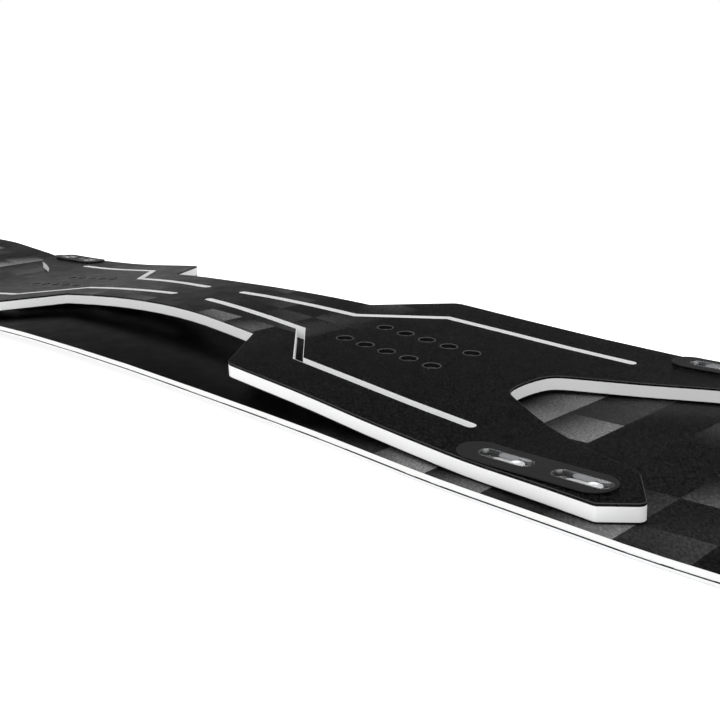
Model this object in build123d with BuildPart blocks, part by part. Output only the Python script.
from build123d import *
from math import atan2, cos, hypot, sin, sqrt
import os

# Snowboard with a full-length floating riser plate.
#
# Frame: millimetres. +X runs along the board towards the tail, +Z up, and +Y is on the
# left when facing the tail. The origin is at the level of the floor, on the centreline,
# midway between the two binding insert fields of the plate.

os.makedirs("parts", exist_ok=True)

# ----------------------------------------------------------------- dimensions
# board, plan
WAIST_HALF = 120.5          # half of the narrowest width
SIDECUT_R = 9000.0
X_WIDE = 630.0              # widest points, at nose and tail
X_TIP = 795.0

# board, through the thickness (heights above the underside)
T_BOARD = 6.5
T_BASE = 1.3                # sintered base sheet
T_EDGE = 2.0                # height of the steel edge bar
W_EDGE = 2.0                # width of the steel edge bar
T_RUBBER = 0.4              # damping foil on the steel edge
W_WALL = 8.0                # width of the sidewall ring
T_TOPSHEET = 0.6
T_UPPER = 0.6               # upper laminate
X_WALL_END = 600.0          # sidewalls end here, tip spacers take over
WALL_BOTTOM = T_EDGE + T_RUBBER
WALL_TOP = T_BOARD - T_TOPSHEET
CORE_TOP = WALL_TOP - T_UPPER

# board camber line: (x, height of the top surface above the floor)
BOARD_FLAT_A = 385.0        # the board is flat between these two stations,
BOARD_FLAT_B = 472.0        # where it touches the floor and carries the plate
NOSE_PTS = [(-795.0, 46.4), (-770.0, 36.0), (-708.0, 20.5), (-655.0, 15.8),
            (-611.0, 13.4), (-569.0, 11.4), (-526.0, 8.9)]
MID_PTS = [(-300.0, 8.3), (-215.0, 12.5), (-134.0, 15.9), (-50.0, 16.4),
           (28.0, 15.7), (95.0, 14.5), (166.0, 12.7), (219.0, 11.5),
           (291.0, 9.3)]
TAIL_PTS = [(520.0, 8.1), (570.0, 10.5), (625.0, 14.9), (690.0, 23.5),
            (735.0, 33.0), (795.0, 50.6)]

# riser plate, through the thickness (depths below its top surface)
T_PLATE = 9.7
T_SKIN = 1.6                # black top skin
T_BOTTOM_SKIN = 0.7         # black bottom skin
PLATE_CORE_BOTTOM = T_PLATE - T_BOTTOM_SKIN
SKIN_ROUND = 0.7            # rounding of the top skin's outer rim

# riser plate, lengthwise: (x, height of the top surface)
PLATE_LEG_Z = 16.75         # top surface of the plate over its four legs
PLATE_FLAT = 396.0          # legs are level outboard of this station
PLATE_END = 490.0           # lengthwise sections stop here, beyond the legs
PLATE_PTS = [(-350.0, 17.95), (-300.0, 20.2), (-272.0, 22.05), (-225.0, 25.9),
             (-178.0, 29.7), (-100.0, 35.95), (0.0, 39.6), (25.0, 39.75),
             (100.0, 37.5), (178.0, 32.2), (225.0, 28.4), (272.0, 24.5),
             (300.0, 22.1), (350.0, 18.6)]

# riser plate, plan: (x, y) of one quadrant, mirrored twice
WAIST_PTS = [(0.0, 48.5), (33.0, 49.3), (65.0, 51.4), (98.0, 54.7), (124.0, 57.1)]
SHOULDER_IN = (132.6, 58.0)
SHOULDER_OUT = (174.3, 113.7)
OUTER_PTS = [(190.0, 114.0), (250.0, 114.9), (300.0, 117.2), (373.0, 120.3),
             (424.0, 123.0), (453.0, 125.5)]
TIP_OUT = (470.8, 111.4)
TIP_IN = (449.2, 80.6)
# inner edge of a leg, round the crotch to the centre line
INNER_PTS = [(440.0, 77.2), (415.0, 68.7), (394.0, 60.0), (370.0, 47.9),
             (352.0, 37.6), (339.0, 29.9), (331.2, 24.6), (327.3, 19.6),
             (325.2, 12.0), (324.3, 0.0)]
# (corner, fillet radius)
CORNER_ROUNDS = [(SHOULDER_IN, 5.0), (SHOULDER_OUT, 11.0), (TIP_IN, 16.0),
                 (TIP_OUT, 4.5), (OUTER_PTS[-1], 3.0)]

# four lightening slots through the plate, one per quadrant
SLOT_W = 6.0
LIP = 0.3                   # lip of the core round each slot, flush with the skin
SLOT_BEND_R = 1.5
SLOT_LINE = [(24.9, 17.3), (147.3, 27.2), (198.0, 74.2), (347.2, 81.9)]

# binding inserts: two rows of five per foot
STANCE_HALF = 225.0
INSERT_COUNT = 5
INSERT_ROWS = 2
INSERT_PITCH = 20.0
INSERT_ROW = 40.0           # distance between the rows
INSERT_R = 6.2
INSERT_CUP_R = 5.5
INSERT_CUP_DEPTH = 3.2
INSERT_THREAD_R = 2.5       # M6 minor radius
INSERT_LEN = 8.9
INSERT_RISE = 4.0           # start of the insert solids above the foot plane
SKIN_HOLE_H = 8.0           # height of the insert cutters through the top skin

# sliding mounts: two screws under one cap on each leg
MOUNT_Y = 108.2
CAP_X0, CAP_X1 = 363.0, 452.8
CAP_CX = (CAP_X0 + CAP_X1) / 2
CAP_L, CAP_W = CAP_X1 - CAP_X0, 24.4
T_CAP = 1.4                 # height of the cap above the plate
CAP_ROUND = 0.35            # rounding of its top rim
T_GASKET = 0.75
GASKET_SETBACK = 0.8        # from the rim of the cap
LINER_X = (391.1, 434.9)
LINER_L, LINER_W = 32.2, 10.7
LINER_WALL = 0.6
LINER_PROUD = 0.1           # liner rim above the cap
LINER_BLANK_H = 12.0        # before it is trimmed along the plate
SCREW_OFFSET = 6.4          # screws sit outboard of the slot centres
TRAVEL = 4.0                # sliding travel each way
FLOOR_Z = 14.75             # top of the liner floor
SEAT_Z = FLOOR_Z - 1.8      # underside of the liner floor
SKIRT_Z = PLATE_LEG_Z - T_PLATE + 0.1
THRU_W = 7.0                # slot through the liner
THRU_L = 2 * (SCREW_OFFSET + TRAVEL + THRU_W / 2 + 0.2)
SKIRT_L, SKIRT_W = THRU_L + 2 * LINER_WALL, THRU_W + 2 * LINER_WALL

# sleeves, washers and screws of the mounts
SLEEVE_R = 3.3
SLEEVE_BORE_R = 2.6
WASHER_Z = FLOOR_Z + 0.1
T_WASHER = 0.4
WASHER_W = 9.1
WASHER_IN = 16.7            # reach inboard of the screw
WASHER_L = WASHER_IN + WASHER_W / 2
HEAD_Z = WASHER_Z + T_WASHER
HEAD_R = 4.4
HEAD_H = 1.5
HEAD_ROUND = 0.45
DISH_R = 3.6                # dished top of the head
DISH_FLOOR_R = DISH_R - 1.2
DISH_H = 0.55
SOCKET_R = 1.75             # hexagon socket, across corners / 2
SOCKET_H = 1.25
SHANK_R = 2.5               # M5
SHANK_END_Z = T_EDGE + 0.6

# mount inserts in the board and pads on it
MOUNT_INSERT_R = 4.5
MOUNT_FLANGE_R = 8.0
T_MOUNT_FLANGE = 0.8
MOUNT_BORE_R = SHANK_R + 0.05
TOPSHEET_HOLE_R = 2.8
T_PAD = 0.5
PAD_AT = (425.0, 104.0)
PAD_L, PAD_W, PAD_CORNER_R = 56.0, 30.0, 6.0
PAD_HOLE_R = SLEEVE_R + 0.3

# extents of blanks and cutters, only large enough to pass the work
BOARD_REACH = 180.0         # to each side of the centreline
BOARD_CEILING = 90.0
PLATE_REACH = 160.0
PLATE_CEILING = 60.0
CUT_H = 20.0

CORNERS = [("nose_right", -1, -1), ("nose_left", -1, 1),
           ("tail_right", 1, -1), ("tail_left", 1, 1)]
CAP_AT = [(sign_x * CAP_CX, sign_y * MOUNT_Y) for _, sign_x, sign_y in CORNERS]
LINER_AT = [(sign_x * x, sign_y * MOUNT_Y) for _, sign_x, sign_y in CORNERS for x in LINER_X]
SCREW_AT = [(sign_x * (x + SCREW_OFFSET), sign_y * MOUNT_Y)
            for _, sign_x, sign_y in CORNERS for x in LINER_X]


def save(part, name):
    part.label = name
    export_step(part, "parts/" + name + ".step")


# ------------------------------------------------------- lengthwise sections
def plate_path(shift):
    """Add the plate's top line, moved up by shift, to the open BuildLine."""
    z0 = PLATE_LEG_Z + shift
    points = [(-PLATE_FLAT, z0)] + [(x, z + shift) for x, z in PLATE_PTS] + [(PLATE_FLAT, z0)]
    Line((-PLATE_END, z0), (-PLATE_FLAT, z0))
    Spline(*points, tangents=[(1, 0), (1, 0)])
    Line((PLATE_FLAT, z0), (PLATE_END, z0))


def board_path(shift):
    """Add the board's top line, moved up by shift, to the open BuildLine."""
    z0 = T_BOARD + shift

    def raised(points):
        return [(x, z + shift) for x, z in points]

    Spline(*raised(NOSE_PTS), (-BOARD_FLAT_B, z0), tangents=[(1, -0.45), (1, 0)])
    Line((-BOARD_FLAT_B, z0), (-BOARD_FLAT_A, z0))
    Spline((-BOARD_FLAT_A, z0), *raised(MID_PTS), (BOARD_FLAT_A, z0), tangents=[(1, 0), (1, 0)])
    Line((BOARD_FLAT_A, z0), (BOARD_FLAT_B, z0))
    Spline((BOARD_FLAT_B, z0), *raised(TAIL_PTS), tangents=[(1, 0), (1, 0.36)])


def plate_band(top, bottom):
    """Section of a layer of the plate, between two depths below its top."""
    with BuildSketch(Plane.XZ) as section:
        with BuildLine():
            plate_path(-top)
            plate_path(-bottom)
            for x in (-PLATE_END, PLATE_END):
                Line((x, PLATE_LEG_Z - top), (x, PLATE_LEG_Z - bottom))
        make_face()
    return section.sketch


def under_plate_line(shift):
    """Section of everything below the plate's top line moved up by shift."""
    with BuildSketch(Plane.XZ) as section:
        with BuildLine():
            plate_path(shift)
            z0 = PLATE_LEG_Z + shift
            Polyline((-PLATE_END, z0), (-PLATE_END, 0), (PLATE_END, 0), (PLATE_END, z0))
        make_face()
    return section.sketch


def board_band(top, bottom):
    """Section of a layer of the board, between two heights above its underside."""
    with BuildSketch(Plane.XZ) as section:
        with BuildLine():
            board_path(top - T_BOARD)
            board_path(bottom - T_BOARD)
            for x, z in (NOSE_PTS[0], TAIL_PTS[-1]):
                Line((x, z + top - T_BOARD), (x, z + bottom - T_BOARD))
        make_face()
    return section.sketch


# --------------------------------------------------------- plans of the board
def tip_arcs(end):
    """Start, joint, tip and the two centres of the tangent arcs round one end (-1 nose, 1 tail)."""
    x_wide, x_tip = end * X_WIDE, end * X_TIP
    side_rise = sqrt(SIDECUT_R ** 2 - x_wide ** 2)
    start = (x_wide, WAIST_HALF + SIDECUT_R - side_rise)
    tip = (x_tip, 0.0)
    start_dir = (end * side_rise / SIDECUT_R, abs(x_wide) / SIDECUT_R)
    tip_dir = (0.0, -1.0)

    # a biarc with equal tangent lengths; the length solves a quadratic
    span_x, span_y = x_tip - x_wide, -start[1]
    quad = 2 * (1 - (start_dir[0] * tip_dir[0] + start_dir[1] * tip_dir[1]))
    lin = 2 * (span_x * (start_dir[0] + tip_dir[0]) + span_y * (start_dir[1] + tip_dir[1]))
    root = sqrt(lin * lin + 4 * quad * (span_x * span_x + span_y * span_y))
    length = (-lin + root) / (2 * quad)
    joint = ((x_wide + x_tip + length * (start_dir[0] - tip_dir[0])) / 2,
             (start[1] + length * (start_dir[1] - tip_dir[1])) / 2)

    def centre(point, direction, other):
        """Centre of the arc that leaves point in a direction and passes through other."""
        normal_x, normal_y = direction[1], -direction[0]
        dx, dy = other[0] - point[0], other[1] - point[1]
        radius = (dx * dx + dy * dy) / (2 * (normal_x * dx + normal_y * dy))
        return point[0] + normal_x * radius, point[1] + normal_y * radius

    return start, joint, tip, centre(start, start_dir, joint), centre(tip, tip_dir, joint)


def inset_point(point, centre, inset):
    """Point moved by inset towards (or, for a negative inset, away from) a centre."""
    dx, dy = point[0] - centre[0], point[1] - centre[1]
    radius = hypot(dx, dy)
    return (centre[0] + dx * (radius - inset) / radius,
            centre[1] + dy * (radius - inset) / radius)


def halfway(start, end, centre):
    """Middle of the shorter arc from start to end about a centre."""
    mid_x, mid_y = (start[0] + end[0]) / 2 - centre[0], (start[1] + end[1]) / 2 - centre[1]
    scale = hypot(start[0] - centre[0], start[1] - centre[1]) / hypot(mid_x, mid_y)
    return centre[0] + mid_x * scale, centre[1] + mid_y * scale


def board_plan(inset):
    """Plan of the board, set in from its rim. Every offset keeps the arcs' centres."""
    side_centre = (0.0, WAIST_HALF + SIDECUT_R)
    with BuildSketch() as plan:
        with BuildLine():
            side_ends = []
            for end in (-1, 1):
                start, joint, tip, flank_centre, tip_centre = tip_arcs(end)
                start = inset_point(start, flank_centre, inset)
                joint = inset_point(joint, flank_centre, inset)
                tip = inset_point(tip, tip_centre, inset)
                ThreePointArc(start, halfway(start, joint, flank_centre), joint)
                ThreePointArc(joint, halfway(joint, tip, tip_centre), tip)
                side_ends.append(start)
            waist = inset_point((0.0, WAIST_HALF), side_centre, -inset)
            ThreePointArc(side_ends[0], waist, side_ends[1])
            mirror(about=Plane.XZ)
        make_face()
    return plan.sketch


board_outline = board_plan(0.0)
board_inside_edge = board_plan(W_EDGE)
board_inside_wall = board_plan(W_WALL)


def wall_ring(centre, length, width=400.0):
    """Part of the ring W_WALL wide along the board's rim that lies in a rectangle."""
    with BuildSketch() as plan:
        add(board_outline)
        add(board_inside_wall, mode=Mode.SUBTRACT)
        with Locations(centre):
            Rectangle(length, width, mode=Mode.INTERSECT)
    return plan.sketch


# --------------------------------------------------------- plans of the plate
with BuildSketch() as plate_outline:
    with BuildLine():
        Spline(*WAIST_PTS, tangents=[(1, 0), (1, 0.10)])
        Line(WAIST_PTS[-1], SHOULDER_IN)
        Line(SHOULDER_IN, SHOULDER_OUT)
        Line(SHOULDER_OUT, OUTER_PTS[0])
        Spline(*OUTER_PTS, tangents=[(1, 0.008), (1, 0.088)])
        Polyline(OUTER_PTS[-1], TIP_OUT, TIP_IN, INNER_PTS[0])
        Spline(*INNER_PTS, tangents=[(-1, -0.31), (0, -1)])
        mirror(about=Plane.XZ)
        mirror(about=Plane.YZ)
    make_face()
    for (corner_x, corner_y), corner_r in CORNER_ROUNDS:
        corners = plate_outline.vertices().filter_by(
            lambda v: hypot(abs(v.X) - corner_x, abs(v.Y) - corner_y) < 0.2)
        fillet(corners, corner_r)


def slot_polygon(half_width):
    """Mitred outline of a lightening slot, half_width to each side of its centre line."""
    left, right = [], []
    for i, (x, y) in enumerate(SLOT_LINE):
        steps = []
        if i > 0:
            steps.append((x - SLOT_LINE[i - 1][0], y - SLOT_LINE[i - 1][1]))
        if i < len(SLOT_LINE) - 1:
            steps.append((SLOT_LINE[i + 1][0] - x, SLOT_LINE[i + 1][1] - y))
        units = [(dx / hypot(dx, dy), dy / hypot(dx, dy)) for dx, dy in steps]
        normal_x = -sum(unit[1] for unit in units)
        normal_y = sum(unit[0] for unit in units)
        size = hypot(normal_x, normal_y)
        normal_x, normal_y = normal_x / size, normal_y / size
        mitre = half_width / (normal_x * -units[0][1] + normal_y * units[0][0])
        left.append((x + normal_x * mitre, y + normal_y * mitre))
        right.append((x - normal_x * mitre, y - normal_y * mitre))
    return left + right[::-1]


def slots(grow):
    """Plan of the four lightening slots, each grown by grow on every side."""
    half_width = SLOT_W / 2 + grow
    with BuildSketch() as plan:
        with BuildLine():
            Polyline(*slot_polygon(half_width), close=True)
        make_face()
        # the four vertices at the two bends
        fillet(plan.vertices().filter_by(lambda v: 100 < v.X < 300), SLOT_BEND_R)
        with Locations(SLOT_LINE[0], SLOT_LINE[-1]):
            Circle(half_width)
        mirror(about=Plane.XZ)
        mirror(about=Plane.YZ)
    return plan.sketch


def ovals(centres, length, width):
    """Plan of round-ended slots along X."""
    with BuildSketch() as plan:
        with Locations(*centres):
            SlotOverall(length, width)
    return plan.sketch


def screw_circles(radius):
    """Plan of a circle round each of the eight plate screws."""
    with BuildSketch() as plan:
        with Locations(*SCREW_AT):
            Circle(radius)
    return plan.sketch


slot_plan = slots(0.0)
slot_lip_plan = slots(LIP)
liner_seat_plan = ovals(LINER_AT, LINER_L, LINER_W)
liner_skirt_plan = ovals(LINER_AT, SKIRT_L, SKIRT_W)


def foot_plane(end):
    """Plane on the plate's top surface at the middle of a foot, X along the board."""
    i = [x for x, z in PLATE_PTS].index(end * STANCE_HALF)
    (x_before, z_before), (x_mid, z_mid), (x_after, z_after) = PLATE_PTS[i - 1:i + 2]
    slope = atan2(z_after - z_before, x_after - x_before)
    return Plane(origin=(x_mid, 0, z_mid), x_dir=(cos(slope), 0, sin(slope)),
                 z_dir=(-sin(slope), 0, cos(slope)))


FEET = {"front": foot_plane(-1), "rear": foot_plane(1)}


# -------------------------------------------------------------------- layers
def board_layer(top, bottom, plan, cuts=()):
    """Layer of the board; cuts are (plan, height) pairs taken out from z = 0 up."""
    with BuildPart() as layer:
        extrude(board_band(top, bottom), amount=BOARD_REACH, both=True)
        with BuildSketch():
            add(plan)
        extrude(amount=BOARD_CEILING, mode=Mode.INTERSECT)
        for cut_plan, height in cuts:
            with BuildSketch():
                add(cut_plan)
            extrude(amount=height, mode=Mode.SUBTRACT)
    return layer.part


def top_rim(builder):
    """Edges that belong to only one upward face: the rim, without the seams between faces."""
    found = {}
    for face in builder.faces().filter_by(lambda f: f.normal_at().Z > 0.5):
        for edge in face.edges():
            key = tuple(round(v, 2) for v in edge.position_at(0.5))
            found.setdefault(key, []).append(edge)
    return [edges[0] for edges in found.values() if len(edges) == 1]


def plate_layer(top, bottom, plan, rim_round=None, cuts=()):
    """Layer of the plate, its top rim rounded before the (plan, height) cuts."""
    with BuildPart() as layer:
        extrude(plate_band(top, bottom), amount=PLATE_REACH, both=True)
        with BuildSketch():
            add(plan)
        extrude(amount=PLATE_CEILING, mode=Mode.INTERSECT)
        if rim_round is not None:
            fillet(top_rim(layer), rim_round)
        for cut_plan, height in cuts:
            with BuildSketch():
                add(cut_plan)
            extrude(amount=height, mode=Mode.SUBTRACT)
    return layer.part


# ===================================================================== board
base_sheet = board_layer(T_BASE, 0.0, board_inside_edge)
save(base_sheet, "base_sheet")

for side, sign in (("left", 1), ("right", -1)):
    half_ring = wall_ring((0, sign * 200), 2000)

    # steel edge: a square bar at the rim with a thin anchor flange over the base
    edge_blank = board_layer(T_EDGE, 0.0, half_ring)
    with BuildPart() as steel_edge:
        add(edge_blank)
        add(base_sheet, mode=Mode.SUBTRACT)
    save(steel_edge.part, "steel_edge_" + side)

    # damping foil between the steel edge and the sidewall
    save(board_layer(WALL_BOTTOM, T_EDGE, half_ring), "edge_rubber_" + side)

    # sidewall between the tip spacers
    wall_plan = wall_ring((0, sign * 200), 2 * X_WALL_END)
    save(board_layer(WALL_TOP, WALL_BOTTOM, wall_plan), "sidewall_" + side)

# plastic spacers that close the core at the tips
for end_name, sign in (("nose", -1), ("tail", 1)):
    spacer_plan = wall_ring((sign * (X_WALL_END + 200), 0), 400)
    save(board_layer(WALL_TOP, WALL_BOTTOM, spacer_plan), end_name + "_tip_spacer")

# glass laminate under the core, inside the edge flanges
save(board_layer(T_EDGE, T_BASE, board_inside_wall), "lower_laminate")

# wood core with seats for the eight plate-mount inserts
insert_body_cut = (screw_circles(MOUNT_INSERT_R), CUT_H)
insert_flange_cut = (screw_circles(MOUNT_FLANGE_R), T_EDGE + T_MOUNT_FLANGE)
save(board_layer(CORE_TOP, T_EDGE, board_inside_wall,
                 cuts=[insert_body_cut, insert_flange_cut]), "wood_core")
save(board_layer(WALL_TOP, CORE_TOP, board_inside_wall,
                 cuts=[insert_body_cut]), "upper_laminate")
save(board_layer(T_BOARD, WALL_TOP, board_outline,
                 cuts=[(screw_circles(TOPSHEET_HOLE_R), CUT_H)]), "topsheet")

# ------------------------------------------------- plate mounts on the board
# flanged threaded inserts with the flange at the bottom: flange, body, bore
with BuildPart() as plate_mount_inserts:
    for radius, height, mode in ((MOUNT_FLANGE_R, T_MOUNT_FLANGE, Mode.ADD),
                                 (MOUNT_INSERT_R, WALL_TOP - T_EDGE, Mode.ADD),
                                 (MOUNT_BORE_R, CUT_H, Mode.SUBTRACT)):
        with BuildSketch(Plane.XY.offset(T_EDGE)):
            with Locations(*SCREW_AT):
                Circle(radius)
        extrude(amount=height, mode=mode)
save(plate_mount_inserts.part, "plate_mount_inserts")

# low-friction film under each leg, with windows for the sleeves
with BuildPart() as slide_pads:
    with BuildSketch(Plane.XY.offset(T_BOARD)):
        for _, sign_x, sign_y in CORNERS:
            with Locations((sign_x * PAD_AT[0], sign_y * PAD_AT[1])):
                RectangleRounded(PAD_L, PAD_W, PAD_CORNER_R)
        with Locations(*SCREW_AT):
            Circle(PAD_HOLE_R, mode=Mode.SUBTRACT)
    extrude(amount=T_PAD)
save(slide_pads.part, "slide_pads")

# sleeves round the screws, from the board up to the washers
with BuildPart() as screw_sleeves:
    with BuildSketch(Plane.XY.offset(T_BOARD)):
        with Locations(*SCREW_AT):
            Circle(SLEEVE_R)
            Circle(SLEEVE_BORE_R, mode=Mode.SUBTRACT)
    extrude(amount=WASHER_Z - T_BOARD)
save(screw_sleeves.part, "screw_sleeves")

# long washers: they reach inboard of the screw and cover the slot
with BuildPart() as slide_washers:
    with BuildSketch(Plane.XY.offset(WASHER_Z)):
        for _, sign_x, sign_y in CORNERS:
            for x in LINER_X:
                washer_x = x + SCREW_OFFSET + WASHER_W / 2 - WASHER_L / 2
                with Locations((sign_x * washer_x, sign_y * MOUNT_Y)):
                    SlotOverall(WASHER_L, WASHER_W)
        with Locations(*SCREW_AT):
            Circle(SLEEVE_BORE_R, mode=Mode.SUBTRACT)
    extrude(amount=T_WASHER)
save(slide_washers.part, "slide_washers")

# screws: rounded head, shank, dished top and hexagon socket
with BuildPart() as plate_screws:
    with BuildSketch(Plane.XY.offset(HEAD_Z)):
        with Locations(*SCREW_AT):
            Circle(HEAD_R)
    extrude(amount=HEAD_H)
    head_rims = plate_screws.edges().filter_by(GeomType.CIRCLE).group_by(Axis.Z)[-1]
    fillet(head_rims, HEAD_ROUND)
    with BuildSketch(Plane.XY.offset(HEAD_Z)):
        with Locations(*SCREW_AT):
            Circle(SHANK_R)
    extrude(amount=-(HEAD_Z - SHANK_END_Z))
    with Locations(*[(x, y, HEAD_Z + HEAD_H) for x, y in SCREW_AT]):
        Cone(DISH_FLOOR_R, DISH_R, DISH_H, align=(Align.CENTER, Align.CENTER, Align.MAX),
             mode=Mode.SUBTRACT)
    with BuildSketch(Plane.XY.offset(HEAD_Z + HEAD_H)):
        with Locations(*SCREW_AT):
            RegularPolygon(SOCKET_R, 6)
    extrude(amount=-SOCKET_H, mode=Mode.SUBTRACT)
save(plate_screws.part, "plate_screws")

# ===================================================================== plate
skin_blank = plate_layer(0.0, T_SKIN, plate_outline.sketch, rim_round=SKIN_ROUND,
                         cuts=[(slot_lip_plan, PLATE_CEILING), (liner_seat_plan, PLATE_CEILING)])
with BuildPart() as plate_top_skin:
    add(skin_blank)
    for foot in FEET.values():
        with BuildSketch(foot.offset(INSERT_RISE)):
            with GridLocations(INSERT_PITCH, INSERT_ROW, INSERT_COUNT, INSERT_ROWS):
                Circle(INSERT_R)
        extrude(amount=-SKIN_HOLE_H, mode=Mode.SUBTRACT)
save(plate_top_skin.part, "plate_top_skin")

# core: full height round the slots, below the top skin elsewhere
core_body = plate_layer(T_SKIN, PLATE_CORE_BOTTOM, plate_outline.sketch)
with BuildPart() as plate_core:
    extrude(plate_band(0.0, PLATE_CORE_BOTTOM), amount=PLATE_REACH, both=True)
    with BuildSketch():
        add(slot_lip_plan)
    extrude(amount=PLATE_CEILING, mode=Mode.INTERSECT)
    add(core_body)
    with BuildSketch():
        add(slot_plan)
    extrude(amount=PLATE_CEILING, mode=Mode.SUBTRACT)
    with BuildSketch(Plane.XY.offset(SEAT_Z)):
        add(liner_seat_plan)
    extrude(amount=CUT_H, mode=Mode.SUBTRACT)
    with BuildSketch():
        add(liner_skirt_plan)
    extrude(amount=CUT_H, mode=Mode.SUBTRACT)
    for foot in FEET.values():
        with BuildSketch(foot.offset(INSERT_RISE)):
            with GridLocations(INSERT_PITCH, INSERT_ROW, INSERT_COUNT, INSERT_ROWS):
                Circle(INSERT_R)
        extrude(amount=-INSERT_RISE - INSERT_LEN, mode=Mode.SUBTRACT)
save(plate_core.part, "plate_core")

save(plate_layer(PLATE_CORE_BOTTOM, T_PLATE, plate_outline.sketch,
                 cuts=[(slot_plan, PLATE_CEILING), (liner_skirt_plan, CUT_H)]),
     "plate_bottom_skin")

# threaded cups for the bindings, flush with the top skin
for foot_name, foot in FEET.items():
    with BuildPart() as binding_inserts:
        with BuildSketch(foot.offset(INSERT_RISE)):
            with GridLocations(INSERT_PITCH, INSERT_ROW, INSERT_COUNT, INSERT_ROWS):
                Circle(INSERT_R)
        extrude(amount=-INSERT_RISE - INSERT_LEN)
        extrude(under_plate_line(0.0), amount=PLATE_REACH, both=True, mode=Mode.INTERSECT)
        for radius, rise, depth in ((INSERT_CUP_R, INSERT_RISE, INSERT_CUP_DEPTH),
                                    (INSERT_THREAD_R, 0.0, CUT_H)):
            with BuildSketch(foot.offset(rise)):
                with GridLocations(INSERT_PITCH, INSERT_ROW, INSERT_COUNT, INSERT_ROWS):
                    Circle(radius)
            extrude(amount=-rise - depth, mode=Mode.SUBTRACT)
    save(binding_inserts.part, foot_name + "_binding_inserts")

for corner_name, sign_x, sign_y in CORNERS:
    # oval cap over the sliding mounts, with two windows
    cap_plan = ovals([(sign_x * CAP_CX, sign_y * MOUNT_Y)], CAP_L, CAP_W)
    save(plate_layer(-T_CAP, -T_GASKET, cap_plan, rim_round=CAP_ROUND,
                     cuts=[(liner_seat_plan, PLATE_CEILING)]), "slider_cap_" + corner_name)

    # metal liners of the two slots: rim, floor with a narrower slot, and skirt
    liner_pair = [(sign_x * x, sign_y * MOUNT_Y) for x in LINER_X]
    with BuildPart() as slot_liners:
        with BuildSketch(Plane.XY.offset(SEAT_Z)):
            with Locations(*liner_pair):
                SlotOverall(LINER_L, LINER_W)
        extrude(amount=LINER_BLANK_H)
        extrude(under_plate_line(T_CAP + LINER_PROUD), amount=PLATE_REACH, both=True,
                mode=Mode.INTERSECT)
        with BuildSketch(Plane.XY.offset(SKIRT_Z)):
            with Locations(*liner_pair):
                SlotOverall(SKIRT_L, SKIRT_W)
        extrude(amount=SEAT_Z - SKIRT_Z)
        with BuildSketch(Plane.XY.offset(FLOOR_Z)):
            with Locations(*liner_pair):
                SlotOverall(LINER_L - 2 * LINER_WALL, LINER_W - 2 * LINER_WALL)
        extrude(amount=CUT_H, mode=Mode.SUBTRACT)
        with BuildSketch():
            with Locations(*liner_pair):
                SlotOverall(THRU_L, THRU_W)
        extrude(amount=PLATE_CEILING, mode=Mode.SUBTRACT)
    save(slot_liners.part, "slot_liners_" + corner_name)

# thin gaskets that seat the caps, set back from their rims
with BuildSketch() as gasket_plan:
    with Locations(*CAP_AT):
        SlotOverall(CAP_L - 2 * GASKET_SETBACK, CAP_W - 2 * GASKET_SETBACK)
    add(liner_seat_plan, mode=Mode.SUBTRACT)
save(plate_layer(-T_GASKET, 0.0, gasket_plan.sketch), "cap_gaskets")
